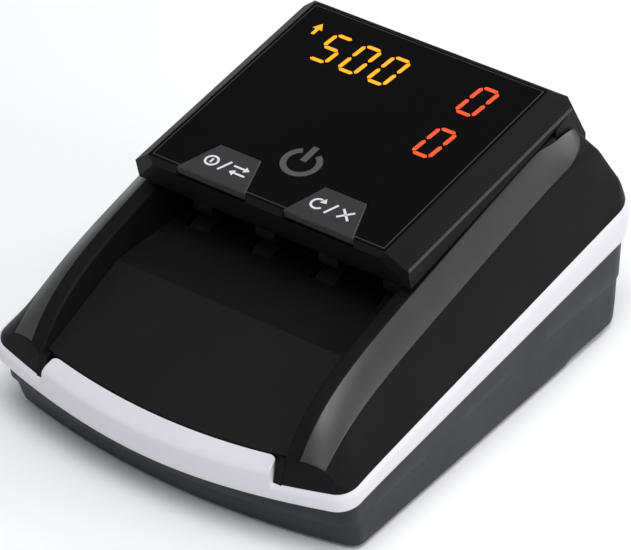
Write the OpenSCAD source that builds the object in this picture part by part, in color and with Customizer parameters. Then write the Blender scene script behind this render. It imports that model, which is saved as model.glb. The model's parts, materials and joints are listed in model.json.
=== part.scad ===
// Compact front-feed banknote detector and value counter.
// X runs across the machine, -Y is the front where notes go in, +Z is up.
// The origin is on the table, under the middle of the machine.

/* [Case] */
// Half width of the case where the trim band meets it
body_hw = 62.4; // [61:0.2:66]
// Half length of the case where the trim band meets it
body_hl = 77.5; // [76:0.5:82]
// How far the middle of the front bows out past its corners
front_bow = 8.7; // [6:0.1:11]
// Radius of the two front corners
front_corner_r = 6; // [5:0.5:9]
// Radius of the two rear corners
rear_corner_r = 11.3; // [8:0.1:13]
// Wall thickness of the plastic shells
wall = 2; // [1.6:0.1:2.4]
// Height of the rubber feet under the case
foot_h = 1; // [0.8:0.1:1.2]
// How far the trim band stands out from the case
band_proud = 1.2; // [0.8:0.1:2]

/* [Note path] */
// Half width of the channel between the cheeks
channel_hw = 42.5; // [42:0.1:43]
// Height of the flat note path
path_z = 43; // [42.5:0.1:43.5]
// Slope of the feed tray in degrees
tray_slope = 21.5; // [20:0.5:23]
// Height of the slot that the note runs in
slot_h = 1.2; // [1:0.1:1.4]

/* [Head] */
// Half width of the head
head_hw = 47.8; // [47:0.1:48]
// Half width of the glass panel
panel_hw = 41.4; // [40:0.1:42]
// Thickness of the glass panel
panel_t = 2.2; // [1.8:0.1:2.6]
// Travel of the two front keys
key_travel = 0.8; // [0.5:0.1:1]

/* [Drive] */
// Radius of the feed rollers
roller_r = 9; // [8.6:0.1:9]
// Radius of the two drive shafts
shaft_r = 2.5; // [2:0.1:2.5]
// Radius of the pinch rollers in the head
pinch_r = 4; // [3.5:0.1:4]
// Gear module
gear_m = 0.8; // [0.8:0.1:0.8]
// Teeth on the drive gear
drive_teeth = 40; // [40:1:40]
// Teeth on the motor pinion
pinion_teeth = 12; // [12:1:12]

/* [Hidden] */

black = [0.06, 0.06, 0.065];
dark = [0.25, 0.26, 0.28];
satin = [0.36, 0.36, 0.35];
white = [0.9, 0.89, 0.92];
amber = [1, 0.7, 0.15];
red = [1, 0.2, 0.12];
steel = [0.72, 0.73, 0.75];
rubber = [0.2, 0.2, 0.21];
board = [0.05, 0.3, 0.15];
nylon = [0.85, 0.83, 0.75];

big = 400;
eps = 0.01;

// Case profile seen from the side: heights of the trim band's two edges at y
band_dip = 6;
function from_front(y) = y + body_hl;
function band_low(y) = 19.2 + 0.0937 * from_front(y) - 3.1 * exp(-from_front(y) / band_dip);
function band_high(y) = 25.1 + 0.133 * from_front(y) - 4.3 * exp(-from_front(y) / band_dip);
// Height of the ledge along the lower case
function ledge_z(y) = y > 27 ? 19 : 19 + 0.077 * (y - 27);

// Top edge of the cheeks, at the inner side of the grey strip
strip_in_x = 47.2;
strip_out_x = 54.6;
rear_slope = 1.8;
rear_top_y = 63;
rear_top_z = 69.3;
function rear_z(y) = max(band_high(y) + 0.2, rear_top_z - rear_slope * (y - rear_top_y));
function cheek_curve(y) =
  63.2 + 0.232 * (y - 7) - 12.8 * exp(-(y + 70) / 11) - 3.6 * exp((y - 60) / 9);
// Fall of the strip's facet across its width: nearly level at the front end
function strip_drop(y) = 6.2 * (1 - exp(-max(cheek_curve(y) - band_high(y) - 5, 1) / 6));
function cheek_z(y) = max(band_high(y) + 0.2, min(cheek_curve(y), rear_z(y)));
function strip_low_z(y) = max(band_high(y) + 0.1, min(cheek_curve(y) - strip_drop(y), rear_z(y)));

// Feed tray: a slope up to the ridge, then the flat path
ridge_y = -37;
function tray_z(y) = path_z - tan(tray_slope) * (ridge_y - y);

// Hinge of the head
hinge_y = 61.4;
hinge_z = 60;
barrel_r = 8;
trough_r = 8.6;
pin_r = 1.5;

// Glass panel: from its front edge it climbs towards the rear
panel_y0 = -22.8;
panel_z0 = 72.1;
panel_len = 81.9;
panel_tilt = 7.37;
// Corner points of the head, as [x, y, z] on its right side
panel_front = [panel_hw, panel_y0, panel_z0];
panel_rear = [panel_hw, 58.4, 82.6];
bevel_front = [head_hw, -20.6, 66.4];
bevel_rear = [head_hw, 61.8, 77.5];
side_low_front = [head_hw, -19, 59.9];
side_low_rear = [head_hw, 47.4, 73.2];
rear_ridge = [45, 63.2, 79.6];
leg_rear = [head_hw, 69.5, 64.7];
leg_front = [head_hw, 53.3, 73.9];
strip_low = [panel_hw - 2, -23.2, 69.6];
chin = [41, -17.6, 59];

// Feed rollers and their pinch rollers
front_y = -4;
rear_y = 42;
shaft_z = path_z + 0.9 - roller_r;
pinch_z = path_z + 0.9 + 0.3 + pinch_r;
roller_x = [-33.75, -11.25, 11.25, 33.75];
roller_w = 7;

// Drive frame side plates
frame_x = 45.5;
frame_t = 2;
gear_x = -50;
belt_x = 51;
pulley_r = 6;
gear_gap = 0.2;
gear_centres = gear_m * (drive_teeth + pinion_teeth) / 2 + gear_gap;
motor_dir = -35;
motor_y = front_y + gear_centres * cos(motor_dir);
motor_z = shaft_z + gear_centres * sin(motor_dir);
motor_r = 10;

$fn = 64;

// ---------- outlines ----------

// Plan outline of the case, drawn in by inset; bow is kept concentric
module plan(inset = 0, front_in = 0) {
  hw = body_hw - inset;
  sag = front_bow;
  bow_r = (body_hw * body_hw + sag * sag) / (2 * sag);
  r = bow_r - inset;
  fc = max(front_corner_r - inset, 0.6);
  rc = max(rear_corner_r - inset, 0.6);
  cy = -body_hl + bow_r + front_in;
  ccx = hw - fc;
  ccy = cy - sqrt((r - fc) * (r - fc) - ccx * ccx);
  rear = body_hl - inset;
  a = atan2(ccy - cy, ccx);
  front_steps = 24;
  corner_steps = 10;
  right = concat(
    [for (i = [0 : front_steps]) let (t = -90 + (a + 90) * i / front_steps) [r * cos(t), cy + r * sin(t)]],
    [for (i = [1 : corner_steps]) let (t = a - a * i / corner_steps) [ccx + fc * cos(t), ccy + fc * sin(t)]],
    [for (i = [0 : corner_steps]) let (t = 90 * i / corner_steps)
      [hw - rc + rc * cos(t), rear - rc + rc * sin(t)]]
  );
  n = len(right);
  polygon(concat(right, [for (i = [n - 1 : -1 : 1]) [-right[i].x, right[i].y]]));
}

module prism(inset = 0, z0 = 0, z1 = 100, front_in = 0) {
  translate([0, 0, z0]) linear_extrude(z1 - z0) plan(inset, front_in);
}

// Extrudes a (y, z) outline across the machine, between two x values
module across(x0, x1) {
  translate([x0, 0, 0]) rotate([90, 0, 90]) linear_extrude(x1 - x0) children();
}

// A cylinder along X
module rod(r, x0, x1, y = 0, z = 0) {
  translate([x0, y, z]) rotate([0, 90, 0]) cylinder(r = r, h = x1 - x0);
}

// Panel frame: x across, y up the panel from its front edge, z out of the glass
module on_panel() {
  translate([0, panel_y0, panel_z0]) rotate([panel_tilt, 0, 0]) children();
}

// Side profiles that cut the case into its shells
side_steps = 30;
function side_y(i) = -90 + 180 * i / side_steps;
function line_of(kind, y) =
  kind == "low" ? band_low(max(y, -body_hl - band_proud)) :
  kind == "high" ? band_high(max(y, -body_hl - band_proud)) : ledge_z(y);
module below(kind, lift = 0) {
  pts = [for (i = [0 : side_steps]) let (y = side_y(i)) [y, line_of(kind, y) + lift]];
  across(-big / 2, big / 2) polygon(concat([[90, -5], [-90, -5]], pts));
}

// ---------- lower case ----------

lower_in = 1.2;
bottom_in = 1.8;
bottom_front_in = 6;
rear_step_y = 42;
rear_step = 2;
ledge_in = 0.5;

// Solid body of the lower case, drawn in by t all round
module case_solid(t) {
  intersection() {
    union() {
      intersection() {
        hull() {
          prism(bottom_in + t, foot_h, foot_h + eps, bottom_front_in);
          prism(lower_in + t, 20, 20 + eps, 1);
        }
        below("ledge");
      }
      difference() {
        hull() {
          prism(ledge_in + 0.6 + t, 8, 8 + eps, 2.5);
          prism(0.3 + t, 34, 34 + eps);
        }
        below("ledge", -eps);
      }
    }
    below("low");
  }
}

boss_pts = [[-52, -48], [52, -48], [-52, 58], [52, 58]];

module bottom_case() {
  color(dark) difference() {
    union() {
      difference() {
        case_solid(0);
        translate([0, 0, wall]) case_solid_cut();
      }
      for (p = boss_pts) translate([p.x, p.y, foot_h]) cylinder(r = 4, h = boss_top(p) - foot_h);
      for (p = rear_posts) post(p, case_floor - 0.5);
    }
    // raised rear part of the underside
    across(-big / 2, big / 2)
      polygon([[rear_step_y, -5], [rear_step_y, foot_h], [rear_step_y + 4, foot_h + rear_step / 2],
        [90, foot_h + rear_step / 2], [90, -5]]);
    // screw holes from below
    for (p = boss_pts) translate([p.x, p.y, -1]) {
      cylinder(r = 1.7, h = 60);
      cylinder(r = 3.2, h = 6);
    }
    // inlet and port openings through the rear wall
    translate([-40, body_hl - 8, inlet_z]) rotate([-90, 0, 0]) cylinder(r = 4.2, h = 20);
    translate([22 - 8, body_hl - 8, inlet_z - 4]) cube([16, 20, 8]);
  }
}

inlet_z = 13;

function boss_top(p) = band_low(p.y) - 0.5;

// Inside of the lower case: same form, one wall in
module case_solid_cut() {
  intersection() {
    hull() {
      prism(bottom_in + wall, foot_h, foot_h + eps, bottom_front_in);
      prism(lower_in + wall, 60, 60 + eps, -1);
    }
    translate([0, 0, 25]) cube([big, big, 50], center = true);
  }
}

foot_x = 46;
front_foot_y = -57;
rear_foot_y = 66;
foot_r = 5;
module rubber_feet() {
  color(rubber) for (x = [-foot_x, foot_x]) {
    translate([x, front_foot_y, 0]) cylinder(r = foot_r, h = foot_h);
    translate([x, rear_foot_y, 0]) cylinder(r = foot_r, h = foot_h + rear_step / 2);
  }
}

module case_screws() {
  color(steel) for (p = boss_pts) translate([p.x, p.y, 2.5]) {
    cylinder(r = 2.7, h = 2.4);
    cylinder(r = 1.4, h = screw_len(p));
  }
}
function screw_len(p) = band_high(p.y) + 8 - 2.5;

// ---------- trim band ----------

lip_hw = 40;
lip_depth = 4.2;

module trim_band() {
  color(white) union() {
    difference() {
      intersection() {
        prism(-band_proud, 0, 80);
        below("high");
      }
      below("low");
      prism(wall + 0.4, -1, 90);
    }
    // front lip, standing above the band and closing the front of the tray
    intersection() {
      difference() {
        prism(-band_proud, 20, 60);
        prism(lip_depth, 19, 61);
      }
      across(-lip_hw, lip_hw)
        polygon([[-90, 23], [-90, 24.6], [-79.2, 24.8], [-73.4, 28.3], [-66, 31.4], [-66, 26], [-72, 23]]);
    }
  }
}

// ---------- upper housing ----------

section_steps = 44;
function sec_y(i) = -80 + 160 * i / section_steps;

// Solid of one cheek, in by t: a loft of cross-sections along Y, on the +X side
module cheek_solid(t) {
  pts = [for (i = [0 : section_steps])
    let (y = sec_y(i), zc = cheek_z(y) - t, zl = strip_low_z(y) - t * 1.2, zb = band_high(y) - 20)
    each [
      [channel_hw + t, y, zb],
      [channel_hw + t, y, zc],
      [strip_in_x + t * 0.2, y, zc],
      [strip_out_x - t * 0.5, y, max(zl, band_high(y) - 1)],
      [body_hw + 0.6 - t, y, band_high(y) - 1],
      [body_hw + 0.6 - t, y, zb]
    ]];
  m = 6;
  faces = concat(
    [[for (k = [0 : m - 1]) k]],
    [[for (k = [m - 1 : -1 : 0]) section_steps * m + k]],
    [for (i = [0 : section_steps - 1], k = [0 : m - 1])
      let (a = i * m + k, b = i * m + (k + 1) % m, c = a + m, d = b + m)
      each [[a, c, b], [b, c, d]]]
  );
  polyhedron(pts, faces);
}

module both_sides() {
  children();
  mirror([1, 0, 0]) children();
}

module housing_outer() {
  intersection() {
    union() {
      both_sides() cheek_solid(0);
      // returns that close the front beside the ends of the lip
      both_sides() across(lip_hw + 0.35, channel_hw + 1)
        polygon([[-80, 15], [-80, 30.2], [-70, 30.2], [-70, 15]]);
      // rear cross part between the cheeks
      across(-channel_hw - 1, channel_hw + 1)
        polygon(concat([[rear_wall_y, rear_top_z], [rear_wall_y, 25], [90, 25]],
          [for (y = [90 : -1.5 : rear_top_y]) [y, rear_z(y)]]));
    }
    prism(0, 10, 90);
  }
}
rear_wall_y = 56;

// Space that the head's hinge barrel and rear leg turn in
module trough() {
  x = head_hw + 0.5;
  rod(trough_r, -x, x, hinge_y, hinge_z);
  across(-x, x)
    polygon([[hinge_y - trough_r, hinge_z], [hinge_y + 4.3, hinge_z], [76.9, 45.9], [90, 45.9],
      [90, 90], [hinge_y - trough_r, 90]]);
}

// Sloping slot that lets notes out through the rear
module exit_slot() {
  across(-channel_hw, channel_hw)
    polygon([[50, path_z], [rear_wall_y, path_z], [90, path_z + 6.4], [90, path_z + 8.2],
      [rear_wall_y, path_z + 1.6 + slot_h], [50, path_z + 1.6 + slot_h]]);
}

ear_x = 53;
drive_room = 45.2;
module upper_housing() {
  color(black) difference() {
    union() {
      difference() {
        housing_outer();
        // hollow cheeks
        intersection() {
          both_sides() cheek_solid(wall);
          prism(wall, 0, 90);
        }
        // hollow rear part
        intersection() {
          across(-channel_hw - 3, channel_hw + 3)
            polygon([[rear_wall_y + wall, 20], [rear_wall_y + wall, path_z - 2],
              [75.2, path_z + 1.1], [80, path_z + 1.1], [80, 20]]);
          prism(wall, 0, 90);
        }
      }
      // trough wall, hinge ears and screw bosses
      intersection() {
        housing_outer();
        union() {
          rod(trough_r + wall, -ear_x, ear_x, hinge_y, hinge_z);
          for (p = boss_pts) translate([p.x, p.y, 0]) cylinder(r = 4, h = band_high(p.y) + 12);
        }
      }
    }
    // the band and the lower case take the space below
    difference() {
      below("high");
      prism(wall + 0.6, 0, 90);
    }
    below("low", 0.5);
    exit_slot();
    trough();
    // the drive frame and the shafts pass under the channel walls
    translate([-drive_room, frame_y0 - 1, 0])
      cube([2 * drive_room, rear_wall_y - 0.1 - frame_y0 + 1, frame_top + 0.1]);
    rod(pin_r, -ear_x + 1.5, ear_x - 1.5, hinge_y, hinge_z);
    both_sides() strip_shape(0);
    for (p = boss_pts) translate([p.x, p.y, 0]) cylinder(r = 1.4, h = band_high(p.y) + 9);
  }
}

// Grey strip let into the top of a cheek, as a thin solid on the +X side
strip_t = 1.2;
strip_y0 = -71;
strip_y1 = 63.5;
strip_steps = 40;
function strip_out(y) =
  let (tip = 14, d = y - (strip_y1 - tip), nose = 5, e = strip_y0 + nose - y)
  d > 0 ? strip_in_x + (strip_out_x - strip_in_x) * sqrt(max(0.02, 1 - d * d / (tip * tip))) :
  e > 0 ? strip_in_x + (strip_out_x - strip_in_x) * sqrt(max(0.3, 1 - 0.5 * e / nose)) : strip_out_x;
module strip_shape(gap) {
  pts = [for (i = [0 : strip_steps])
    let (y = strip_y0 + (strip_y1 - strip_y0) * i / strip_steps, xo = strip_out(y) - gap,
      f = (xo - strip_in_x) / (strip_out_x - strip_in_x), zi = cheek_z(y),
      zo = zi + (strip_low_z(y) - zi) * f)
    each [
      [strip_in_x + gap, y, zi - strip_t],
      [strip_in_x + gap, y, zi + (gap > 0 ? 0 : 1)],
      [xo, y, zo + (gap > 0 ? 0 : 1)],
      [xo, y, zo - strip_t]
    ]];
  m = 4;
  faces = concat(
    [[for (k = [0 : m - 1]) k]],
    [[for (k = [m - 1 : -1 : 0]) strip_steps * m + k]],
    [for (i = [0 : strip_steps - 1], k = [0 : m - 1])
      let (a = i * m + k, b = i * m + (k + 1) % m, c = a + m, d = b + m)
      each [[a, c, b], [b, c, d]]]
  );
  polyhedron(pts, faces);
}

module strip_piece() {
  difference() {
    strip_shape(0.05);
    trough();
  }
}
module strip_right() { color(satin) strip_piece(); }
module strip_left() { color(satin) mirror([1, 0, 0]) strip_piece(); }

// ---------- drive frame and feed drive ----------

frame_y0 = -18;
frame_y1 = 55;
frame_top = 40.5;
case_floor = foot_h + wall;

module drive_frame() {
  color(satin) difference() {
    union() {
      both_sides() across(frame_x, frame_x + frame_t)
        polygon([[frame_y0, case_floor], [frame_y0, 30], [frame_y0 + 6, frame_top],
          [frame_y1, frame_top], [frame_y1, case_floor]]);
      translate([-frame_x - frame_t, frame_y0, case_floor])
        cube([2 * (frame_x + frame_t), frame_y1 - frame_y0, 1.5]);
      // motor cradle
      across(-31, -28)
        polygon([[motor_y - 12, case_floor], [motor_y - 12, motor_z], [motor_y + 12, motor_z],
          [motor_y + 12, case_floor]]);
      for (p = main_posts) post(p, case_floor + 0.5);
    }
    for (y = [front_y, rear_y]) rod(bush_r, -60, 60, y, shaft_z);
    rod(motor_r + 0.1, -40, -20, motor_y, motor_z);
    // boss of the motor passes the left plate
    rod(3.2, -60, -40, motor_y, motor_z);
  }
}

bush_r = 4;
bush_x = 44.3;
bush_len = 3.6;
module shaft_bushes() {
  color(nylon) both_sides() for (y = [front_y, rear_y]) difference() {
    rod(bush_r, bush_x, bush_x + bush_len, y, shaft_z);
    rod(shaft_r + 0.05, 0, 60, y, shaft_z);
  }
}

module front_shaft() { color(steel) rod(shaft_r, gear_x - 3, belt_x + 3, front_y, shaft_z); }
module rear_shaft() { color(steel) rod(shaft_r, gear_x - 3, belt_x + 3, rear_y, shaft_z); }

module feed_rollers(y) {
  for (x = roller_x) difference() {
    rod(roller_r, x - roller_w / 2, x + roller_w / 2, y, shaft_z);
    rod(shaft_r, x - roller_w, x + roller_w, y, shaft_z);
  }
}
module front_rollers() { color(rubber) feed_rollers(front_y); }
module rear_rollers() { color(rubber) feed_rollers(rear_y); }

module pulley(y) {
  difference() {
    union() {
      rod(pulley_r, belt_x - 2.6, belt_x + 2.6, y, shaft_z);
      for (x = [belt_x - 2.6, belt_x + 1.8]) rod(pulley_r + 1.8, x, x + 0.8, y, shaft_z);
    }
    rod(shaft_r, belt_x - 5, belt_x + 5, y, shaft_z);
  }
}
module front_pulley() { color(nylon) pulley(front_y); }
module rear_pulley() { color(nylon) pulley(rear_y); }

module belt_loop(r) {
  translate([front_y, shaft_z]) circle(r);
  translate([rear_y, shaft_z]) circle(r);
  translate([front_y, shaft_z - r]) square([rear_y - front_y, 2 * r]);
}
module drive_belt() {
  color(rubber) across(belt_x - 1.6, belt_x + 1.6) difference() {
    belt_loop(pulley_r + 1.4);
    belt_loop(pulley_r + 0.3);
  }
}

// Spur gear outline with thinned teeth, which leave backlash
module gear_outline(teeth, phase) {
  r = gear_m * teeth / 2;
  ra = r + 0.9 * gear_m;
  rf = r - 1.2 * gear_m;
  pitch = 360 / teeth;
  thin = 0.86;
  half = pitch / 4 * thin;
  function flank(rad) = half - (rad - r) * tan(20) / rad * 57.3;
  polygon([for (i = [0 : teeth - 1]) let (c = phase + i * pitch) each [
    [rf * cos(c - flank(rf)), rf * sin(c - flank(rf))],
    [r * cos(c - half), r * sin(c - half)],
    [ra * cos(c - flank(ra)), ra * sin(c - flank(ra))],
    [ra * cos(c + flank(ra)), ra * sin(c + flank(ra))],
    [r * cos(c + half), r * sin(c + half)],
    [rf * cos(c + flank(rf)), rf * sin(c + flank(rf))]
  ]]);
}

gear_w = 4;
module drive_gear() {
  color(nylon) difference() {
    union() {
      across(gear_x - gear_w / 2, gear_x + gear_w / 2)
        translate([front_y, shaft_z]) gear_outline(drive_teeth, motor_dir);
    }
    rod(shaft_r, gear_x - 9, gear_x + 9, front_y, shaft_z);
    // dished web with round openings
    for (s = [-1, 1]) difference() {
      rod(12, gear_x + s * 1 - (s < 0 ? 9 : 0), gear_x + s * 1 + (s > 0 ? 9 : 0), front_y, shaft_z);
      rod(5, gear_x - 20, gear_x + 20, front_y, shaft_z);
    }
    for (a = [0 : 60 : 300])
      rod(2.2, gear_x - 9, gear_x + 9, front_y + 8.6 * cos(a), shaft_z + 8.6 * sin(a));
  }
}

module motor_pinion() {
  color(nylon) difference() {
    across(gear_x - gear_w / 2 - 0.5, gear_x + gear_w / 2 + 0.5) translate([motor_y, motor_z])
      gear_outline(pinion_teeth, motor_dir + 180 + 180 / pinion_teeth);
    rod(1, gear_x - 9, gear_x + 9, motor_y, motor_z);
  }
}
module motor_shaft() { color(steel) rod(1, gear_x - 3, -12, motor_y, motor_z); }

module drive_motor() {
  color(steel) difference() {
    union() {
      rod(motor_r, -frame_x + 0.5, -14, motor_y, motor_z);
      rod(3, -frame_x - 0.6, -frame_x + 1, motor_y, motor_z);
      rod(3, -15, -10.5, motor_y, motor_z);
    }
    rod(1.05, -60, 0, motor_y, motor_z);
  }
}

slot_count = 18;
module encoder_disc() {
  color(black) difference() {
    rod(11, gear_x - 0.5, gear_x + 0.5, rear_y, shaft_z);
    rod(shaft_r, gear_x - 5, gear_x + 5, rear_y, shaft_z);
    for (i = [0 : slot_count - 1]) translate([gear_x - 5, rear_y, shaft_z])
      rotate([i * 360 / slot_count, 0, 0]) translate([0, 7, -0.5]) cube([10, 3, 1]);
  }
}
sensor_w = 5.4;
sensor_x = -frame_x - frame_t - sensor_w;
module encoder_sensor() {
  color(black) difference() {
    translate([sensor_x, rear_y - 15.5, shaft_z - 4]) cube([sensor_w, 9, 8]);
    translate([gear_x - 1.2, rear_y - 12, shaft_z - 10]) cube([2.4, 12, 20]);
  }
  color(board) translate([sensor_x, rear_y - 15.1, shaft_z - 14]) cube([sensor_w, 1.6, 10]);
}

// ---------- lower note guide ----------

sensor_y0 = 14;
sensor_y1 = 26;
sensor_hw = 38;
guide_t = 2;

module roller_windows(y, half_len, z0, z1) {
  for (x = roller_x) translate([x - roller_w / 2 - 0.6, y - half_len, z0])
    cube([roller_w + 1.2, 2 * half_len, z1 - z0]);
}

module lower_guide() {
  color(black) difference() {
    intersection() {
      union() {
        across(-channel_hw + 0.2, channel_hw - 0.2)
          polygon([[-80, tray_z(-80)], [ridge_y, path_z], [rear_wall_y - 0.2, path_z],
            [rear_wall_y - 0.2, path_z - guide_t], [ridge_y, path_z - guide_t],
            [-80, tray_z(-80) - guide_t]]);
        // stiffening ribs under the tray
        for (x = [-30 : 20 : 30]) across(x - 0.75, x + 0.75)
          polygon([[-66, tray_z(-66) - 1], [ridge_y, path_z - 1], [-20, path_z - 1],
            [-20, path_z - 6], [ridge_y, path_z - 8], [-66, tray_z(-66) - 4]]);
      }
      prism(lip_depth + 0.2, 10, 60);
    }
    roller_windows(front_y, 7.4, 30, 60);
    roller_windows(rear_y, 7.4, 30, 60);
    translate([-sensor_hw, sensor_y0, 30]) cube([2 * sensor_hw, sensor_y1 - sensor_y0, 30]);
  }
}

module sensor_bar(z0, z1) {
  translate([-sensor_hw + 0.1, sensor_y0 + 0.1, z0])
    cube([2 * sensor_hw - 0.2, sensor_y1 - sensor_y0 - 0.2, z1 - z0]);
}
module lower_sensor_bar() { color(satin) sensor_bar(path_z - 9, path_z - 0.05); }

// ---------- electronics in the base ----------

board_z = 8;
board_t = 1.6;
post_r = 3;
pin_top = 1.5;
main_posts = [[-24, -11], [38, -11], [-24, 47], [38, 47]];
rear_posts = [[-26, 60.6], [10, 60.6]];
module board_holes(posts) {
  for (p = posts) translate([p.x, p.y, 0]) cylinder(r = pin_top + 0.1, h = 20);
}
// Post with a pin that a board is set over, standing on z0
module post(p, z0) {
  translate([p.x, p.y, z0]) cylinder(r = post_r, h = board_z - z0);
  translate([p.x, p.y, z0]) cylinder(r = pin_top, h = board_z + board_t + 0.8 - z0);
}
module main_board() {
  color(board) difference() {
    translate([-27.5, -15, board_z]) cube([69.5, 66, board_t]);
    board_holes(main_posts);
  }
  color(board) difference() {
    translate([-45, 55.2, board_z]) cube([83, 10.7, board_t]);
    board_holes(rear_posts);
  }
}

module board_parts() {
  z = board_z + board_t;
  color(black) {
    translate([6, 20, z]) cube([14, 14, 1.2]);
    translate([-20, 30, z]) cube([10, 8, 1.4]);
    translate([26, 4, z]) cube([7, 5, 1.6]);
    for (x = [-6, 2, 10]) translate([x, 46, z]) cube([5, 3.6, 1.8]);
  }
  color(nylon) {
    translate([-2, -13, z]) cube([22, 5, 5]);
    translate([30, 36, z]) cube([8, 5, 5]);
  }
  color(steel) for (p = [[34, 22], [34, 30], [-14, 42]]) translate([p.x, p.y, z]) cylinder(r = 3, h = 7);
}

module power_inlet() {
  color(black) difference() {
    union() {
      translate([-44.5, 62, 9.6]) cube([9, 11.5, 7.6]);
      translate([-40, 66, inlet_z]) rotate([-90, 0, 0]) cylinder(r = 4, h = 9.2);
    }
    translate([-40, 65, inlet_z]) rotate([-90, 0, 0]) cylinder(r = 2.8, h = 20);
  }
  color(steel) translate([-40, 64.5, inlet_z]) rotate([-90, 0, 0]) cylinder(r = 0.9, h = 9);
}

module update_port() {
  color(steel) difference() {
    translate([22 - 6.5, 62, 9.6]) cube([13, 13, 5.6]);
    translate([22 - 5.9, 64, 10.3]) cube([11.8, 20, 3.8]);
  }
  color(white) translate([22 - 5, 64, 11.6]) cube([10, 9, 1.2]);
}

// ---------- head ----------

module hinge_pins() {
  color(steel) both_sides() rod(pin_r, 40, ear_x - 1.6, hinge_y, hinge_z);
}

// Outer form of the head: bevelled slab, rear leg, hinge barrel and middle body
mid_hw = 42;
module corner(p) {
  translate([p.x - eps, p.y, p.z - eps]) cube(eps);
}
module head_outer() {
  // slab under the panel
  hull() both_sides() {
    for (p = [panel_front, panel_rear, bevel_front, bevel_rear, rear_ridge, side_low_front,
      side_low_rear, strip_low, chin]) corner(p);
  }
  // leg down to the hinge
  hull() both_sides() {
    for (p = [bevel_rear, rear_ridge, leg_rear, [head_hw, leg_rear.y, hinge_z],
      [head_hw, hinge_y - barrel_r, hinge_z], leg_front]) corner(p);
  }
  rod(barrel_r, -head_hw, head_hw, hinge_y, hinge_z);
  across(-mid_hw, mid_hw)
    polygon([[-19.4, 62.6], [-16.4, 57.2], [-14.6, 57.2], [-14.6, 66], [52, 78], [40, 78], [-19, 68]]);
}

// Outline of the right key on the panel; gap widens it to the opening
key_bottom = [6.6, 30.8];
key_top = [11.2, 25.6];
key_len = 14;
key_front = -0.2;
module key_outline(gap = 0) {
  polygon([[key_bottom[0] - gap * 1.2, key_front - 3 * gap], [key_bottom[1] + gap * 1.2, key_front - 3 * gap],
    [key_top[1] + gap, key_len + gap], [key_top[0] - gap, key_len + gap]]);
}

module head_cover() {
  color(black) difference() {
    head_outer();
    // seat of the glass, and the window under it
    on_panel() translate([-panel_hw, 0, -panel_t]) cube([2 * panel_hw, panel_len + 5, panel_t + 20]);
    on_panel() translate([-38.4, 17, -12]) cube([76.8, 61, 22]);
    // inside of the head
    across(-mid_hw + 1.8, mid_hw - 1.8)
      polygon([[-17.2, 66.4], [-13.4, 58], [-13.4, 40], [51, 40], [51, 75.2], [-17.2, 66.4]]);
    across(-mid_hw + 1.8, mid_hw - 1.8)
      polygon([[-17.2, 60], [-17.2, 66.4], [-16.2, 69], [51, 77.6], [51, 70], [0, 60]]);
    // openings of the keys, and the holes of their stems
    on_panel() both_sides() {
      translate([0, 0, -key_t - key_travel - 0.4]) linear_extrude(20) key_outline(key_gap);
      translate([key_x, key_stem_y, -9]) cylinder(r = 2.6, h = 9);
    }
    // hinge bores
    rod(pin_r + 0.05, -60, 60, hinge_y, hinge_z);
    // screw holes from below
    for (p = head_boss) translate([p.x, p.y, 40]) cylinder(r = 1.1, h = 24);
  }
}
head_boss = [[-38.5, 4], [38.5, 4], [-38.5, 47], [38.5, 47]];

module display_panel() {
  color(black) difference() {
    on_panel() translate([-panel_hw + 0.1, 0.1, -panel_t + 0.05])
      cube([2 * panel_hw - 0.2, panel_len - 0.2, panel_t - 0.05]);
    on_panel() both_sides() translate([0, 0, -7]) linear_extrude(20) key_outline(key_gap);
    on_panel() translate([0, 0, -mark_t]) linear_extrude(5) {
      power_outline();
      amber_outline();
      red_outline();
      arrow_outline();
    }
  }
}

// Marks and lit segments, let flush into the glass
mark_t = 0.4;
mark_proud = 0.05;
power_at = [-1.2, 19.4];
module power_outline() {
  translate(power_at) {
    difference() {
      circle(6.2);
      circle(4.3);
      polygon([[0, 0], [-6, 10], [6, 10]]);
    }
    translate([-1, 0.6]) square([2, 7]);
  }
}

seg_w = 1.3;
seg_h = 14;
seg_b = 5.6;
slant = 0.09;
module segment(a, b) {
  // a six-sided bar from a to b
  d = (b - a) / norm(b - a);
  n = [-d.y, d.x];
  h = seg_w / 2;
  g = 0.35;
  p = a + d * g;
  q = b - d * g;
  polygon([p, p + (d + n) * h, q + (n - d) * h, q, q - (d + n) * h, p + (d - n) * h]);
}
function leaned(x, y) = [x + slant * y, y];
module digit(at, lit) {
  w = seg_b / 2;
  k = (seg_h - seg_w) / 2;
  ends = [
    [leaned(-w, k), leaned(w, k)], [leaned(w, k), leaned(w, 0)], [leaned(w, 0), leaned(w, -k)],
    [leaned(-w, -k), leaned(w, -k)], [leaned(-w, 0), leaned(-w, -k)], [leaned(-w, k), leaned(-w, 0)],
    [leaned(-w, 0), leaned(w, 0)]
  ];
  translate(at) for (i = lit) segment(ends[i][0], ends[i][1]);
}
zero = [0, 1, 2, 3, 4, 5];
five = [0, 5, 6, 2, 3];
module amber_outline() {
  digit([-24.2, 66], five);
  digit([-13.9, 66], zero);
  digit([-3.6, 66], zero);
}
module red_outline() {
  digit([26.6, 67.3], zero);
  digit([26.4, 45.8], zero);
}
module arrow_outline() {
  translate([-33.2, 69]) {
    translate([-0.55, 0]) square([1.1, 3]);
    polygon([[-1.7, 2.6], [1.7, 2.6], [0, 5.4]]);
  }
}
module inlay() {
  on_panel() translate([0, 0, -mark_t]) linear_extrude(mark_t + mark_proud) children();
}
module power_mark() { color(satin) inlay() power_outline(); }
module amber_digits() { color(amber) inlay() amber_outline(); }
module red_digits() { color(red) inlay() red_outline(); }
module amber_arrow() { color(amber) inlay() arrow_outline(); }

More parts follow.
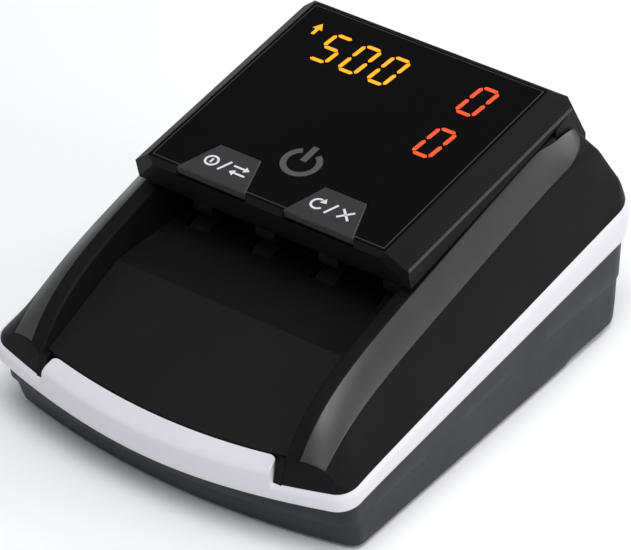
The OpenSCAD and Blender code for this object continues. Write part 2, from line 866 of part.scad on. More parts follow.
board_n = -9;
module display_board() {
  color(board) on_panel() translate([-38, 18, board_n]) cube([76, 58, 1.6]);
  color(board) on_panel() translate([-34, 4.9, board_n]) cube([68, 13.1, 1.6]);
}
module digit_modules() {
  z = board_n + 1.6;
  color(dark) on_panel() {
    translate([-29.5, 57, z]) cube([31, 18, 4.8]);
    translate([20.5, 58.5, z]) cube([12, 17.5, 4.8]);
    translate([20.5, 37, z]) cube([12, 17.5, 4.8]);
  }
}
module key_switches() {
  z = board_n + 1.6;
  on_panel() for (x = [-key_x, key_x]) {
    color(satin) translate([x - 3, key_stem_y - 3, z]) cube([6, 6, 2.4]);
    color(white) translate([x, key_stem_y, z + 2.4]) cylinder(r = 1.6, h = 0.9);
  }
}

key_t = 2.4;
key_proud = 0.35;
key_gap = 0.25;
key_x = 18.6;
key_stem_y = 9;
key_stem = 0.8;
module key_body() {
  on_panel() {
    translate([0, 0, -key_t]) linear_extrude(key_t + key_proud) key_outline();
    translate([key_x, key_stem_y, -key_t - key_stem]) cylinder(r = 2, h = 2 * key_stem);
  }
}
module key_right() { color(satin) key_body(); }
module key_left() { color(satin) mirror([1, 0, 0]) key_body(); }

// Guide plate under the head, with the ramp that leads a note into the slot
roof_z = path_z + slot_h;
module upper_guide() {
  color(black) difference() {
    union() {
      across(-mid_hw + 0.2, mid_hw - 0.2)
        polygon([[-14.2, 56.6], [-2, roof_z], [52, roof_z], [52, roof_z + 1.6], [-1.4, roof_z + 1.6],
          [-13, 57.6], [-14.2, 57.6]]);
      both_sides() across(mid_hw - 1.7, mid_hw - 0.2)
        polygon([[-13.4, 56.8], [-2, roof_z + 1], [52, roof_z + 1], [52, 57], [-12, 57]]);
      for (p = head_boss) translate([p.x - (p.x > 0 ? 3.2 : 1.8), p.y - 3.5, 54.6]) cube([5, 7, 2]);
    }
    roller_windows(front_y, 6, 40, 70);
    roller_windows(rear_y, 6, 40, 70);
    translate([-sensor_hw, sensor_y0, 40]) cube([2 * sensor_hw, sensor_y1 - sensor_y0, 8]);
    for (y = [front_y, rear_y]) rod(axle_r + 0.05, -60, 60, y, pinch_z);
    for (p = head_boss) translate([p.x, p.y, 50]) cylinder(r = 1.3, h = 10);
  }
}
module upper_sensor_bar() { color(satin) sensor_bar(roof_z + 0.1, roof_z + 9); }

module head_screws() {
  color(steel) for (p = head_boss) translate([p.x, p.y, 0]) {
    translate([0, 0, 53]) cylinder(r = 1.7, h = 1.6);
    translate([0, 0, 54]) cylinder(r = 1.1, h = 9);
  }
}

axle_r = 1.2;
module pinch_axle(y) { rod(axle_r, -mid_hw + 0.3, mid_hw - 0.3, y, pinch_z); }
module pinch_rollers(y) {
  for (x = roller_x) difference() {
    rod(pinch_r, x - roller_w / 2, x + roller_w / 2, y, pinch_z);
    rod(axle_r, x - roller_w, x + roller_w, y, pinch_z);
  }
}
module front_pinch_axle() { color(steel) pinch_axle(front_y); }
module rear_pinch_axle() { color(steel) pinch_axle(rear_y); }
module front_pinch_rollers() { color(rubber) pinch_rollers(front_y); }
module rear_pinch_rollers() { color(rubber) pinch_rollers(rear_y); }

bottom_case();
trim_band();
upper_housing();
strip_left();
strip_right();
rubber_feet();
case_screws();
drive_frame();
lower_guide();
shaft_bushes();
front_shaft();
front_rollers();
front_pulley();
drive_gear();
rear_shaft();
rear_rollers();
rear_pulley();
encoder_disc();
drive_belt();
drive_motor();
motor_shaft();
motor_pinion();
encoder_sensor();
main_board();
board_parts();
power_inlet();
update_port();
lower_sensor_bar();
hinge_pins();
head_cover();
display_panel();
power_mark();
amber_digits();
red_digits();
amber_arrow();
display_board();
digit_modules();
key_switches();
key_left();
key_right();
upper_guide();
upper_sensor_bar();
head_screws();
front_pinch_axle();
front_pinch_rollers();
rear_pinch_axle();
rear_pinch_rollers();
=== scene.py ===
"""Looks of the compact banknote detector.

Smooth shells and detailed small parts stand for CAD nodes, with materials, a floor, light and a camera.
Lengths inside the shape functions are in millimetres, in the row's frame, and MM turns them into metres.
"""

import json
import math

import bmesh
import bpy
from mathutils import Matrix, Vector


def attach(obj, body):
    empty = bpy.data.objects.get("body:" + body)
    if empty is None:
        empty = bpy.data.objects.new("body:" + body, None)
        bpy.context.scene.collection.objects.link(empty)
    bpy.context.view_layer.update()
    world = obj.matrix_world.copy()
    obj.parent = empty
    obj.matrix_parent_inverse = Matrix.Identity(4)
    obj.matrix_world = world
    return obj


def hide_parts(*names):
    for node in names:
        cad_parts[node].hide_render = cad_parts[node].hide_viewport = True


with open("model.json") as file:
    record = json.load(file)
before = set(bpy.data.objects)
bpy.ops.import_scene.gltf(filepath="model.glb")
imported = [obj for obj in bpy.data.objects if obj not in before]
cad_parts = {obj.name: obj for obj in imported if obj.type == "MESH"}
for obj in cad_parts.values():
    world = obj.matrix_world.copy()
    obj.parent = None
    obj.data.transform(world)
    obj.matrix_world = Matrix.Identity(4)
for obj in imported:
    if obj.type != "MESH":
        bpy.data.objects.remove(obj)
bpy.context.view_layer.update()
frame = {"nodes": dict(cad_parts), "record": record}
scene = bpy.context.scene
nodes = frame["nodes"]
MM = 0.001


# ---------- camera, light and floor ----------

LENS, SENSOR = 230.127, 36
CAMERA_AT = (0.561306, -0.770011, 0.708088)
CAMERA_TILT, CAMERA_TURN = 54.724, 36.033
FLOOR_SIZE = 6


def make_camera():
    data = bpy.data.cameras.new("camera")
    data.lens = LENS
    data.sensor_width = SENSOR
    data.clip_end = 20
    data.dof.use_dof = False
    camera = bpy.data.objects.new("camera", data)
    camera.location = CAMERA_AT
    camera.rotation_euler = (math.radians(CAMERA_TILT), 0, math.radians(CAMERA_TURN))
    scene.collection.objects.link(camera)
    scene.camera = camera


def area_light(name, location, target, size, power, color=(1, 1, 1)):
    data = bpy.data.lights.new(name, "AREA")
    data.shape = "RECTANGLE"
    data.size, data.size_y = size
    data.energy = power
    data.color = color
    light = bpy.data.objects.new(name, data)
    light.location = location
    aim = Vector(target) - Vector(location)
    light.rotation_euler = aim.to_track_quat("-Z", "Y").to_euler()
    scene.collection.objects.link(light)
    return light


def make_light():
    area_light("key_light", (0.25, -0.35, 1.15), (0, 0, 0.03), (0.7, 0.7), 9)
    area_light("side_light", (1.1, 0.05, 0.45), (0, 0, 0.03), (0.7, 0.5), 4.4)
    area_light("back_light", (0.25, 0.95, 0.7), (0, 0.02, 0.05), (0.8, 0.4), 5)
    world = bpy.data.worlds.new("studio")
    world.use_nodes = True
    background = world.node_tree.nodes["Background"]
    background.inputs["Color"].default_value = (0.93, 0.95, 1.0, 1)
    background.inputs["Strength"].default_value = 0.4
    scene.world = world
    scene.view_settings.view_transform = "Standard"


def make_floor():
    size = FLOOR_SIZE
    corners = [(-size, -size, 0), (size, -size, 0), (size, size, 0), (-size, size, 0)]
    mesh = bpy.data.meshes.new("floor")
    mesh.from_pydata(corners, [], [(0, 1, 2, 3)])
    floor = bpy.data.objects.new("floor", mesh)
    scene.collection.objects.link(floor)
    shader = new_material("floor_pale")
    shader.inputs["Base Color"].default_value = (0.93, 0.93, 0.93, 1)
    shader.inputs["Roughness"].default_value = 0.8
    shader.inputs["Specular IOR Level"].default_value = 0.1
    mesh.materials.append(looks["floor_pale"])


# ---------- materials ----------

looks = {}


def new_material(name):
    """A new material, kept in looks under its slot's name."""
    material = bpy.data.materials.new("look_" + name)
    material.use_nodes = True
    looks[name] = material
    return material.node_tree.nodes["Principled BSDF"]


def noise_field(tree, scale, detail=2.0, roughness=0.5):
    """A noise texture in object space; scale is in features per metre."""
    place = tree.nodes.new("ShaderNodeTexCoord")
    noise = tree.nodes.new("ShaderNodeTexNoise")
    noise.inputs["Scale"].default_value = scale
    noise.inputs["Detail"].default_value = detail
    noise.inputs["Roughness"].default_value = roughness
    tree.links.new(place.outputs["Object"], noise.inputs["Vector"])
    return noise.outputs["Fac"]


def spread(tree, field, low, high):
    """Maps a field from its middle range to low..high."""
    ramp = tree.nodes.new("ShaderNodeMapRange")
    ramp.inputs["From Min"].default_value = 0.3
    ramp.inputs["From Max"].default_value = 0.7
    ramp.inputs["To Min"].default_value = low
    ramp.inputs["To Max"].default_value = high
    tree.links.new(field, ramp.inputs["Value"])
    return ramp.outputs["Result"]


def two_tone(tree, field, dark, light):
    mix = tree.nodes.new("ShaderNodeMix")
    mix.data_type = "RGBA"
    mix.inputs["A"].default_value = (*dark, 1)
    mix.inputs["B"].default_value = (*light, 1)
    tree.links.new(field, mix.inputs["Factor"])
    return mix.outputs["Result"]


def bump(tree, shader, field, height):
    """Relief of the given height in metres."""
    node = tree.nodes.new("ShaderNodeBump")
    node.inputs["Strength"].default_value = 1.0
    node.inputs["Distance"].default_value = height
    tree.links.new(field, node.inputs["Height"])
    tree.links.new(node.outputs["Normal"], shader.inputs["Normal"])


def plastic(name, color, roughness, grain=2600, relief=0.00002, tone=0.12, specular=0.4, coat=0.0):
    """Moulded plastic: fine grain, faint cloudy variation in tone and gloss."""
    shader = new_material(name)
    tree = shader.id_data
    cloud = noise_field(tree, 28, 3)
    dark = [c * (1 - tone) for c in color]
    light = [c * (1 + tone) for c in color]
    tree.links.new(two_tone(tree, spread(tree, cloud, 0, 1), dark, light), shader.inputs["Base Color"])
    gloss = noise_field(tree, 90, 4)
    tree.links.new(spread(tree, gloss, roughness - 0.05, roughness + 0.05), shader.inputs["Roughness"])
    shader.inputs["Specular IOR Level"].default_value = specular
    shader.inputs["Coat Weight"].default_value = coat
    if relief:
        bump(tree, shader, noise_field(tree, grain, 2), relief)


def metal(name, color, roughness, stretch=(1, 1, 1)):
    """Plated or ground metal with fine drawn marks along one axis."""
    shader = new_material(name)
    tree = shader.id_data
    place = tree.nodes.new("ShaderNodeTexCoord")
    mapping = tree.nodes.new("ShaderNodeMapping")
    mapping.inputs["Scale"].default_value = stretch
    noise = tree.nodes.new("ShaderNodeTexNoise")
    noise.inputs["Scale"].default_value = 900
    noise.inputs["Detail"].default_value = 3
    tree.links.new(place.outputs["Object"], mapping.inputs["Vector"])
    tree.links.new(mapping.outputs["Vector"], noise.inputs["Vector"])
    field = noise.outputs["Fac"]
    shader.inputs["Metallic"].default_value = 1
    dark = [c * 0.85 for c in color]
    tree.links.new(two_tone(tree, field, dark, color), shader.inputs["Base Color"])
    tree.links.new(spread(tree, field, roughness - 0.06, roughness + 0.08), shader.inputs["Roughness"])
    bump(tree, shader, field, 0.000008)


def lamp(name, color, strength):
    """A lit segment: brighter in its middle than where the diffuser is uneven."""
    shader = new_material(name)
    tree = shader.id_data
    shader.inputs["Base Color"].default_value = (*[c * 0.5 for c in color], 1)
    shader.inputs["Roughness"].default_value = 0.35
    field = spread(tree, noise_field(tree, 700, 2), 0.8, 1.0)
    dim = [c * 0.75 for c in color]
    tree.links.new(two_tone(tree, field, dim, color), shader.inputs["Emission Color"])
    shader.inputs["Emission Strength"].default_value = strength


def make_materials():
    plastic("case_dark", (0.021, 0.022, 0.0245), 0.5, specular=0.2)
    plastic("trim_white", (0.68, 0.665, 0.70), 0.42, relief=0.000008, tone=0.02, specular=0.3)
    plastic("housing_black", (0.0062, 0.006, 0.0061), 0.5, specular=0.085)
    # strip_satin: the strips' light grey, partly painted highlight on the cheek facets; it also colours the
    # painted highlight rim and crease beads
    plastic("strip_satin", (0.034, 0.034, 0.032), 0.38, relief=0.000006, tone=0.05, specular=0.45)
    plastic("foot_rubber", (0.02, 0.02, 0.02), 0.8, grain=1500, relief=0.00005)
    metal("screw_steel", (0.62, 0.62, 0.63), 0.3)
    metal("frame_steel", (0.55, 0.56, 0.57), 0.38, (1, 0.1, 0.1))
    plastic("guide_black", (0.0085, 0.0085, 0.0087), 0.5, specular=0.12)
    plastic("bush_nylon", (0.7, 0.66, 0.55), 0.45, relief=0)
    metal("shaft_steel", (0.7, 0.7, 0.72), 0.2, (0.1, 1, 1))
    plastic("roller_rubber", (0.012, 0.012, 0.0125), 0.7, grain=1800, relief=0.00004, specular=0.2)
    plastic("gear_nylon", (0.75, 0.72, 0.62), 0.42, relief=0)
    plastic("belt_rubber", (0.012, 0.012, 0.012), 0.7, grain=1500, relief=0.00003)
    metal("motor_steel", (0.6, 0.6, 0.61), 0.32, (0.1, 1, 1))
    plastic("disc_black", (0.008, 0.008, 0.008), 0.5)
    plastic("board_green", (0.012, 0.09, 0.035), 0.35, relief=0.000006)
    plastic("chip_black", (0.012, 0.012, 0.012), 0.5)
    metal("socket_steel", (0.65, 0.65, 0.66), 0.25)
    plastic("window_dark", (0.006, 0.005, 0.0065), 0.08, relief=0, specular=0.3)
    plastic("panel_gloss", (0.0018, 0.0018, 0.0019), 0.12, relief=0, specular=0.06)
    plastic("mark_grey", (0.072, 0.072, 0.073), 0.5, relief=0, specular=0.2)
    lamp("amber_light", (1.0, 0.36, 0.008), 1.05)
    lamp("red_light", (1.0, 0.075, 0.018), 0.95)
    plastic("module_dark", (0.02, 0.02, 0.022), 0.5)
    plastic("key_grey", (0.026, 0.0256, 0.0256), 0.42, relief=0.00001, specular=0.3)


def paint_nodes():
    """Every CAD node takes the material of its own slot."""
    for sub in frame["record"]["subparts"]:
        data = nodes[sub["node"]].data
        data.materials.clear()
        data.materials.append(looks[sub["material_slot"]])


# ---------- mesh helpers ----------

def link_mesh(name, points, faces):
    """A mesh object from points in millimetres."""
    mesh = bpy.data.meshes.new(name)
    mesh.from_pydata([tuple(c * MM for c in p) for p in points], [], faces)
    mesh.update()
    obj = bpy.data.objects.new(name, mesh)
    scene.collection.objects.link(obj)
    return obj


def tidy_mesh(obj, merge=0.002):
    """Joins points closer than merge millimetres, drops empty faces and turns all faces outwards."""
    bm = bmesh.new()
    bm.from_mesh(obj.data)
    bmesh.ops.remove_doubles(bm, verts=bm.verts, dist=merge * MM)
    bmesh.ops.dissolve_degenerate(bm, edges=bm.edges, dist=merge * MM * 0.5)
    bmesh.ops.recalc_face_normals(bm, faces=bm.faces)
    bm.to_mesh(obj.data)
    bm.free()
    return obj


def apply_modifiers(obj):
    depsgraph = bpy.context.evaluated_depsgraph_get()
    depsgraph.update()
    mesh = bpy.data.meshes.new_from_object(obj.evaluated_get(depsgraph))
    obj.modifiers.clear()
    obj.data = mesh
    return obj


def bevel(obj, width, segments=2, angle=30):
    modifier = obj.modifiers.new("bevel", "BEVEL")
    modifier.width = width * MM
    modifier.segments = segments
    modifier.limit_method = "ANGLE"
    modifier.angle_limit = math.radians(angle)
    modifier.harden_normals = False
    return apply_modifiers(obj)


def boolean(obj, tool, operation="DIFFERENCE"):
    modifier = obj.modifiers.new("boolean", "BOOLEAN")
    modifier.operation = operation
    modifier.solver = "EXACT"
    modifier.object = tool
    apply_modifiers(obj)
    bpy.data.objects.remove(tool)
    return obj


def solidify(obj, thickness):
    modifier = obj.modifiers.new("solidify", "SOLIDIFY")
    modifier.thickness = thickness * MM
    modifier.offset = -1
    return apply_modifiers(obj)


def shade(obj, angle=35):
    obj.data.shade_smooth()
    obj.data.set_sharp_from_angle(angle=math.radians(angle))
    return obj


def flat_shaded_faces(obj):
    """Bevelled flat pieces keep their large faces flat-looking."""
    modifier = obj.modifiers.new("normals", "WEIGHTED_NORMAL")
    modifier.keep_sharp = True
    return apply_modifiers(obj)


def piece(obj, body, slot, *replaced):
    """Gives a piece its material, its body, its slot and the CAD nodes that it stands for."""
    obj.data.materials.clear()
    obj.data.materials.append(looks[slot])
    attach(obj, body)
    if replaced:
        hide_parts(*replaced)
    return obj


def ring_faces(rings, count, closed_rings=False, closed_points=True):
    """Quads between neighbouring rings that each hold count points."""
    faces = []
    last = rings if closed_rings else rings - 1
    for j in range(last):
        for i in range(count if closed_points else count - 1):
            a = j * count + i
            b = j * count + (i + 1) % count
            c = ((j + 1) % rings) * count + (i + 1) % count
            d = ((j + 1) % rings) * count + i
            faces.append((a, b, c, d))
    return faces


def prism_between(outline, low, high):
    """A closed solid from an outline of (x, y) points between two heights."""
    n = len(outline)
    points = [(x, y, low) for x, y in outline] + [(x, y, high) for x, y in outline]
    faces = [tuple(range(n - 1, -1, -1)), tuple(range(n, 2 * n))]
    faces += [(i, (i + 1) % n, n + (i + 1) % n, n + i) for i in range(n)]
    return points, faces


def spaced(start, end, count, power=1.0):
    """count values from start to end; a power above 1 packs them near the start."""
    return [start + (end - start) * (i / (count - 1)) ** power for i in range(count)]


def mix(a, b, t):
    """The value that lies the share t of the way from a to b."""
    return a + (b - a) * t


def smoothstep(t):
    """Eases from 0 to 1."""
    t = min(max(t, 0.0), 1.0)
    return t * t * (3 - 2 * t)


def soft_min(a, b, k):
    """The smaller of two heights, rounded over k where they are close."""
    h = max(k - abs(a - b), 0) / k
    return min(a, b) - h * h * k / 4


# ---------- case form, the same as the CAD model's ----------

BODY_HW, BODY_HL = 62.4, 77.5
BOW, FRONT_R, REAR_R = 8.7, 6.0, 11.3
PROUD = 1.2
BOW_R = (BODY_HW ** 2 + BOW ** 2) / (2 * BOW)
BOW_Y = -BODY_HL + BOW_R
FRONT_CX = BODY_HW - FRONT_R
FRONT_CY = BOW_Y - math.sqrt((BOW_R - FRONT_R) ** 2 - FRONT_CX ** 2)
REAR_CX, REAR_CY = BODY_HW - REAR_R, BODY_HL - REAR_R
CHANNEL_X, LAND_X, STRIP_X = 42.5, 47.2, 54.6
LIP_X = 40.0
REAR_POINTS = 10


def band_low(y):
    """Lower edge of the trim band: a steady rise to the rear, dipped at the front."""
    s = y + BODY_HL
    return 19.2 + 0.0937 * s - 3.1 * math.exp(-s / 6)


def band_high(y):
    """Upper edge of the trim band."""
    s = y + BODY_HL
    return 25.1 + 0.133 * s - 4.3 * math.exp(-s / 6)


def ledge_z(y):
    """Height of the shallow ledge round the lower case."""
    return 19 if y > 27 else 19 + 0.077 * (y - 27)


def cheek_curve(y):
    """Height of a cheek's level land: a steady rise, with a steep toe and a fall at the rear."""
    return 63.2 + 0.232 * (y - 7) - 12.8 * math.exp(-(y + 70) / 11) - 3.6 * math.exp((y - 60) / 9)


def rear_slope(y):
    """Height of the slope that closes the housing behind the head."""
    return 69.9 - 1.95 * (y - 63)


def half_outline(inset=0.0, front_in=0.0):
    """Right half of the case outline from the front middle to the rear middle.

    Every inset gives the same number of points.
    """
    hw = BODY_HW - inset
    r = BOW_R - inset
    fc, rc = max(FRONT_R - inset, 0.6), max(REAR_R - inset, 0.6)
    cy = BOW_Y + front_in
    ccx = hw - fc
    ccy = cy - math.sqrt((r - fc) ** 2 - ccx ** 2)
    turn = math.atan2(ccy - cy, ccx)
    rear = BODY_HL - inset
    xs = spaced(0, 36, 14) + spaced(36.6, 41.8, 22) + spaced(43, 54, 8)
    points = [(r * x / BOW_R, cy - r * math.sqrt(1 - (x / BOW_R) ** 2)) for x in xs]
    points += [(ccx + fc * math.cos(t), ccy + fc * math.sin(t)) for t in spaced(turn, 0, 14)]
    points += [(hw, y) for y in spaced(ccy, rear - rc, 48, 1.5)[1:-1]]
    points += [(hw - rc + rc * math.cos(t), rear - rc + rc * math.sin(t)) for t in spaced(0, math.pi / 2, 18)]
    points += [(x, rear) for x in spaced(hw - rc, 0, REAR_POINTS)[1:]]
    return points


def full_outline(inset=0.0, front_in=0.0):
    """The whole case outline, once round."""
    right = half_outline(inset, front_in)
    return right + [(-x, y) for x, y in right[-2:0:-1]]


# ---------- trim band ----------

def band_section(point_at, y):
    """Closed section of the plain band at one place of the outline, from outer bottom to inner bottom."""
    low, high = band_low(y), band_high(y)
    section = []
    for i in range(13):
        f = i / 12
        out = PROUD * (1 - abs(2 * f - 1) ** 3.5) ** 0.6
        section.append((-out, mix(low, high, f)))
    section += [(0.7, high), (1.5, high), (2.2, high - 0.1)]
    section += [(2.25, mix(high, low, 0.3)), (2.25, mix(high, low, 0.7)), (2.2, low)]
    return [(*point_at(inset), z) for inset, z in section]


def lip_top(y):
    """Height of the lip's top: a front chamfer, then a slope that runs on into the tray."""
    return 24.8 + 0.6034 * (y + 79.2) if y < -73.4 else 28.3 + 0.419 * (y + 73.4)


def lip_section(point_at, y, end):
    """Closed section where the band rises into the tray's front lip; end is 1 at the lip's two ends."""
    low, high = band_low(y), band_high(y)
    depth = 4.2 - 2.0 * (1 - math.sqrt(1 - end * end))
    edge = min(max((end - 0.8) / 0.17, 0), 1)
    soften = 0.35 * (1 - math.sqrt(1 - edge * edge))
    crease = lip_top(point_at(-PROUD)[1]) - soften
    section = []
    for i in range(4):
        f = i / 12
        section.append((-PROUD * (1 - abs(2 * f - 1) ** 3.5) ** 0.6, mix(low, high, f)))
    section += [(-PROUD, mix(mix(low, high, 0.25), crease - 0.9, i / 5)) for i in range(1, 6)]
    section += [(-PROUD + 0.12, crease - 0.35), (-PROUD + 0.5, crease + 0.12)]
    section += [(-0.1, lip_top(point_at(-0.1)[1]) + 0.05 - soften)]
    for inset in (1.0, 2.0, depth - 0.7):
        section.append((inset, lip_top(point_at(inset)[1]) + 0.05 - soften))
    top = lip_top(point_at(depth)[1]) - soften
    section += [(depth - 0.2, top - 0.05), (depth, top - 0.5), (depth, 22.5), (2.2, low)]
    return [(*point_at(inset), z) for inset, z in section]


def make_band():
    reach = [-PROUD, 4.3]
    outer, inner = full_outline(reach[0]), full_outline(reach[1])
    base = full_outline(0)
    points = []
    for i, (x, y) in enumerate(base):
        def point_at(inset, i=i):
            t = (inset - reach[0]) / (reach[1] - reach[0])
            return mix(outer[i][0], inner[i][0], t), mix(outer[i][1], inner[i][1], t)
        plain = band_section(point_at, y)
        weight = min(max(1 - (abs(x) - LIP_X + 0.1) / 0.9, 0), 1) ** 4 if y < 0 else 0
        if weight > 0:
            end = min(max((abs(x) - LIP_X + 2.4) / 2.4, 0), 1)
            lip = lip_section(point_at, y, end)
            plain = [tuple(mix(a, b, weight) for a, b in zip(p, q)) for p, q in zip(plain, lip)]
        points += plain
    count = len(points) // len(base)
    obj = link_mesh("trim_band_shell", points, ring_faces(len(base), count, closed_rings=True))
    return piece(shade(tidy_mesh(obj), 40), "base", "trim_white", "trim_band")


# ---------- lower case ----------

UNDER = 1.0
BOSSES = ((-52, -48), (52, -48), (-52, 58), (52, 58))
INLET_X, PORT_X, SOCKET_Z = -40, 22, 13
SCREW_WELL_R, INLET_R, PORT_HW, PORT_HH = 3.2, 4.2, 8, 4


def case_low_at(z):
    """Inset of the lower case below its ledge, at the sides and at the front."""
    t = (z - UNDER) / 19
    return mix(1.8, 1.2, t), mix(6, 1, t)


def case_high_at(z):
    """Inset of the lower case above its ledge, at the sides and at the front."""
    t = (z - 8) / 26
    return mix(1.1, 0.3, t), mix(2.5, 0, t)


def underside_z(y):
    """The underside steps up a little towards the rear."""
    return UNDER + smoothstep((y - 42) / 4)


def lower_case_form():
    """Loft of rings from the underside up to the band, then down the inside."""
    base = full_outline(0)
    cache = {}

    def at(i, inset, front_in):
        key = (round(inset, 3), round(front_in, 3))
        if key not in cache:
            cache[key] = full_outline(*key)
        return cache[key][i]

    columns = []
    for i, (_, y) in enumerate(base):
        ledge, top, under = ledge_z(y), band_low(y) - 0.12, underside_z(y)
        column = []
        for inset, lift in ((3.2, 0.0), (1.5, 0.0), (0.75, 0.16), (0.22, 0.7), (0.0, 1.5)):
            edge = case_low_at(UNDER)
            column.append((*at(i, edge[0] + inset, edge[1]), under + lift))
        for z in (mix(under + 1.5, ledge, 0.35), mix(under + 1.5, ledge, 0.7), ledge - 0.25):
            column.append((*at(i, *[round(v, 1) for v in case_low_at(z)]), z))
        for share, z in ((0.45, ledge - 0.08), (0.9, ledge + 0.1)):
            insets = [round(mix(a, b, share), 1) for a, b in zip(case_low_at(ledge), case_high_at(ledge))]
            column.append((*at(i, *insets), z))
        for z in (ledge + 0.4, mix(ledge, top, 0.4), mix(ledge, top, 0.7), top):
            column.append((*at(i, *[round(v, 1) for v in case_high_at(z)]), z))
        for inset, z in ((2.4, top), (3.0, ledge), (3.6, under + 3.5), (5.0, under + 2.0)):
            column.append((*at(i, inset, case_low_at(z)[1]), z))
        columns.append(column)
    count = len(columns[0])
    points = [p for column in columns for p in column]
    faces = ring_faces(len(base), count, closed_rings=True, closed_points=False)
    # underside and inner floor: strips across from right to left, the last with the straight rear edge
    total = len(base)
    straight = len(half_outline(0)) - REAR_POINTS
    for level, order in ((0, 1), (count - 1, -1)):
        for i in range(straight):
            back = [total - i - 1, (total - i) % total]
            if i == straight - 1:
                back = list(range(straight + 1, total - i + 1))
            strip = tuple(dict.fromkeys([i, i + 1] + back))
            faces.append(tuple(k * count + level for k in strip)[::order])
    return tidy_mesh(link_mesh("lower_case_shell", points, faces))


def make_lower_case():
    obj = lower_case_form()
    for x, y in BOSSES:
        boolean(obj, round_bar("tool", SCREW_WELL_R, (x, y, -2), (x, y, 5.2)))
    inner, outer = BODY_HL - 8.5, BODY_HL + 12.5
    boolean(obj, round_bar("tool", INLET_R, (INLET_X, inner, SOCKET_Z), (INLET_X, outer, SOCKET_Z)))
    low = (PORT_X - PORT_HW, inner, SOCKET_Z - PORT_HH)
    boolean(obj, block("tool", low, (PORT_X + PORT_HW, outer, SOCKET_Z + PORT_HH)))
    return piece(shade(obj, 38), "base", "case_dark", "bottom_case")


# ---------- upper housing ----------

TROUGH_X, TROUGH_R, HINGE_Y, HINGE_Z = 48.3, 8.6, 61.4, 60.0
REAR_WALL_Y = 56.0
LEG_SLOPE = 1.26
FIXED_Y0, FIXED_Y1 = -60.0, REAR_CY


def inset_of(x, y):
    """How far a place lies inside the case outline."""
    x = abs(x)
    if x > REAR_CX and y > REAR_CY:
        return REAR_R - math.hypot(x - REAR_CX, y - REAR_CY)
    dx, dy = x - FRONT_CX, y - FRONT_CY
    turn = math.atan2(FRONT_CY - BOW_Y, FRONT_CX)
    if dx > 0 and dy < 0 and math.atan2(dy, dx) > turn:
        return FRONT_R - math.hypot(dx, dy)
    return min(BODY_HW - x, BODY_HL - y, BOW_R - math.hypot(x, y - BOW_Y))


def strip_drop(y):
    """Fall of the strip facet across its width, nearly level at the toe."""
    rise = cheek_curve(y) - band_high(y)
    return 6.2 * (1 - math.exp(-max(rise - 5, 1) / 6))


def cheek_top(x, y):
    """Height of the cheek without its toe: level land, strip facet, outer flank and rear slope."""
    x = abs(x)
    land = cheek_curve(y)
    drop = strip_drop(y)
    low = max(land - drop, band_high(y) + 1)
    facet = land - (x - LAND_X) * drop / (STRIP_X - LAND_X)
    flank = low - (x - STRIP_X) * (low - band_high(y)) / (BODY_HW - STRIP_X)
    top = soft_min(soft_min(land, facet, 0.5), flank, 0.8)
    return soft_min(top, rear_slope(y), 3)


def toe_round(y):
    """How softly the cheek turns into its steep toe."""
    return 0.4 + 2.1 * smoothstep((y - 62) / 8) if y > -50 else 0.4


def housing_z(x, y):
    """Height of the upper housing's outer skin, with the trough that the hinge barrel turns in."""
    low = band_high(y)
    top = soft_min(cheek_top(x, y), low + 3.8 * max(inset_of(x, y), 0), toe_round(y))
    edge = abs(x) - CHANNEL_X
    if edge < 0.8 and y < REAR_WALL_Y:
        top -= 0.8 - math.sqrt(max(0.64 - (0.8 - max(edge, 0)) ** 2, 0))
    if abs(x) < TROUGH_X and abs(y - HINGE_Y) < TROUGH_R:
        top = min(top, HINGE_Z - math.sqrt(TROUGH_R ** 2 - (y - HINGE_Y) ** 2))
    if abs(x) < TROUGH_X and y > HINGE_Y:
        top = min(top, HINGE_Z - LEG_SLOPE * (y - HINGE_Y - 4.3))
    return max(top, low + 0.03)


def front_y_of(x):
    """Front edge of the case outline at x."""
    bow = BOW_Y - math.sqrt(BOW_R ** 2 - x * x)
    if x <= FRONT_CX:
        return bow
    corner = FRONT_CY - math.sqrt(max(FRONT_R ** 2 - (x - FRONT_CX) ** 2, 0))
    tangent_x = FRONT_CX + FRONT_R * FRONT_CX / math.hypot(FRONT_CX, FRONT_CY - BOW_Y)
    return bow if x < tangent_x else corner


def rear_y_of(x):
    """Rear edge of the case outline at x."""
    return BODY_HL if x <= REAR_CX else REAR_CY + math.sqrt(max(REAR_R ** 2 - (x - REAR_CX) ** 2, 0))


def toe_y_of(x):
    """Where the steep toe meets the top of the cheek."""
    near, far = front_y_of(x), FIXED_Y0
    for _ in range(30):
        y = (near + far) / 2
        if band_high(y) + 3.8 * max(inset_of(x, y), 0) < cheek_top(x, y):
            near = y
        else:
            far = y
    return near


def housing_rows(x):
    """Places along the machine where the housing's skin is sampled at x."""
    front, toe, rear = front_y_of(x), min(toe_y_of(x), FIXED_Y0 - 1.5), rear_y_of(x)
    rows = [mix(front, toe, t) for t in (0, 0.3, 0.6, 0.85, 0.96, 1.0, 1.0001)]
    rows += [toe + d for d in (0.08, 0.25, 0.6)]
    rows += spaced(toe + 1.2, FIXED_Y0, 8)
    rows += spaced(FIXED_Y0, 50, 48)[1:]
    rows += [51.5, 52.79, 52.81, 53.0, 53.4, 54.0, 55.0, REAR_WALL_Y]
    rows += [57.2, 58.6, 60, 61.4, 62.8, 64.2, 65.7, FIXED_Y1]
    rows += [mix(FIXED_Y1, rear, math.sin(math.pi / 2 * i / 24)) for i in range(1, 25)]
    return rows


def clamp_to_case(obj):
    """Keeps the thickened walls inside the case's sides and rear."""
    for vertex in obj.data.vertices:
        vertex.co.x = min(max(vertex.co.x, -BODY_HW * MM), BODY_HW * MM)
        vertex.co.y = min(vertex.co.y, BODY_HL * MM)


